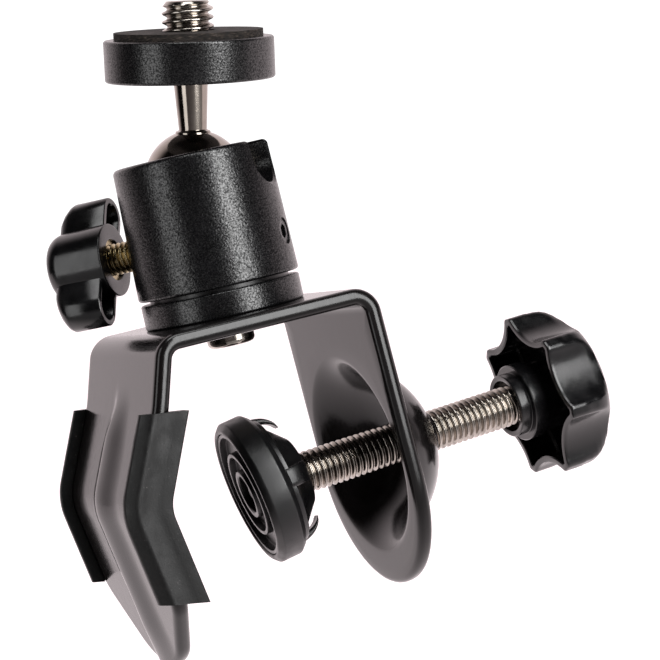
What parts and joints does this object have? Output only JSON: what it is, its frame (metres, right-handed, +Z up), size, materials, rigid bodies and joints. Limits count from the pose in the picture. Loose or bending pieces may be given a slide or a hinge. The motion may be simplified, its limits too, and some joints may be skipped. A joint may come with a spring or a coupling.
{
  "type": "screw clamp with mini ball head",
  "caption": "Bent sheet-steel screw clamp with a swivel pad and rubber-edged jaw, carrying a lockable mini ball head with a threaded camera plate.",
  "frame": {"origin": "where the head's turning axis meets the inner face of the clamp's bridge, the deepest point of the mouth", "axes": "+Z up along the head's turning axis, out of the mouth; +X from the fixed jaw towards the screw knob; Y across the clamp's width"},
  "size_m": [0.104, 0.0486, 0.119],
  "materials": {
    "painted_steel": "gloss black stoved paint on bent sheet steel",
    "strip_rubber": "matt black rubber edge strip",
    "zinc_steel": "bright rolled thread steel",
    "polished_steel": "polished turned steel",
    "cast_black": "pebbled black powder coat on an aluminium casting",
    "machined_black": "fine satin black anodised aluminium",
    "knob_plastic": "satin black moulded plastic",
    "pad_plastic": "black moulded plastic",
    "tyre_rubber": "smooth black rubber",
    "nylon": "natural nylon",
    "brass": "plated brass",
    "pad_rubber": "rough black rubber and cork sheet"
  },
  "bodies": {
    "frame": {"clamp_frame": "painted_steel", "jaw_strip_near": "strip_rubber", "jaw_strip_far": "strip_rubber", "base_disc": "machined_black", "base_washer": "zinc_steel", "base_screw": "zinc_steel", "pan_washer": "pad_plastic", "retaining_ring": "zinc_steel"},
    "head": {"head_shell": "cast_black", "bottom_plug": "zinc_steel", "pressure_seat": "nylon", "seat_spring": "zinc_steel", "grub_screw": "machined_black"},
    "liner": {"ball_liner": "nylon"},
    "stem": {"ball_stem": "polished_steel"},
    "platform": {"top_plate": "machined_black", "top_pad": "pad_rubber", "camera_stud": "polished_steel"},
    "shoe": {"lock_shoe": "brass"},
    "wing": {"lock_screw": "brass", "wing_insert": "brass", "wing_knob": "knob_plastic"},
    "swivel": {"tip_ball": "zinc_steel"},
    "screw": {"clamp_screw": "zinc_steel", "knob_insert": "zinc_steel", "clamp_knob": "knob_plastic"},
    "race": {"pad_race": "nylon"},
    "pad": {"pad_disc": "pad_plastic", "pad_tyre": "tyre_rubber", "pad_retainer": "pad_plastic"}
  },
  "joints": [
    {"name": "head_pan", "type": "hinge", "parent": "frame", "child": "head", "pos_m": [0, 0, 0.0084], "axis": [0, 0, 1], "continuous": true},
    {"name": "side_tilt", "type": "hinge", "parent": "head", "child": "liner", "pos_m": [0, 0, 0.02835], "axis": [0.766, -0.6428, 0], "range_deg": [-28, 20]},
    {"name": "front_tilt", "type": "hinge", "parent": "liner", "child": "stem", "pos_m": [0, 0, 0.02835], "axis": [0.6414, 0.7644, 0.0651], "range_deg": [-40, 76]},
    {"name": "top_spin", "type": "hinge", "parent": "stem", "child": "platform", "pos_m": [0.00249, -0.00383, 0.04885], "axis": [0.1184, -0.1824, 0.9761], "continuous": true},
    {"name": "lock_travel", "type": "slide", "parent": "head", "child": "shoe", "axis": [0.766, -0.6428, 0], "range_m": [-0.0015, 0]},
    {"name": "lock_turn", "type": "hinge", "parent": "shoe", "child": "wing", "pos_m": [-0.00812, 0.00681, 0.0172], "axis": [0.766, -0.6428, 0], "range_deg": [-540, 0]},
    {"name": "clamp_travel", "type": "slide", "parent": "frame", "child": "swivel", "axis": [-0.9992, 0, -0.0401], "range_m": [-0.015, 0.014]},
    {"name": "clamp_turn", "type": "hinge", "parent": "swivel", "child": "screw", "pos_m": [0.00142, 0, -0.03023], "axis": [-0.9992, 0, -0.0401], "range_deg": [-4320.1, 4032.1]},
    {"name": "pad_tilt", "type": "hinge", "parent": "swivel", "child": "race", "pos_m": [0.00142, 0, -0.03023], "axis": [0, 1, 0], "range_deg": [-1, 16]},
    {"name": "pad_nod", "type": "hinge", "parent": "race", "child": "pad", "pos_m": [0.00142, 0, -0.03023], "axis": [0, 0, 1], "range_deg": [-3, 14]}
  ],
  "couplings": [
    {"joint": "lock_travel", "follows": "lock_turn", "m_per_rad": 0.00015915},
    {"joint": "clamp_turn", "follows": "clamp_travel", "rad_per_m": 5026.5}
  ]
}
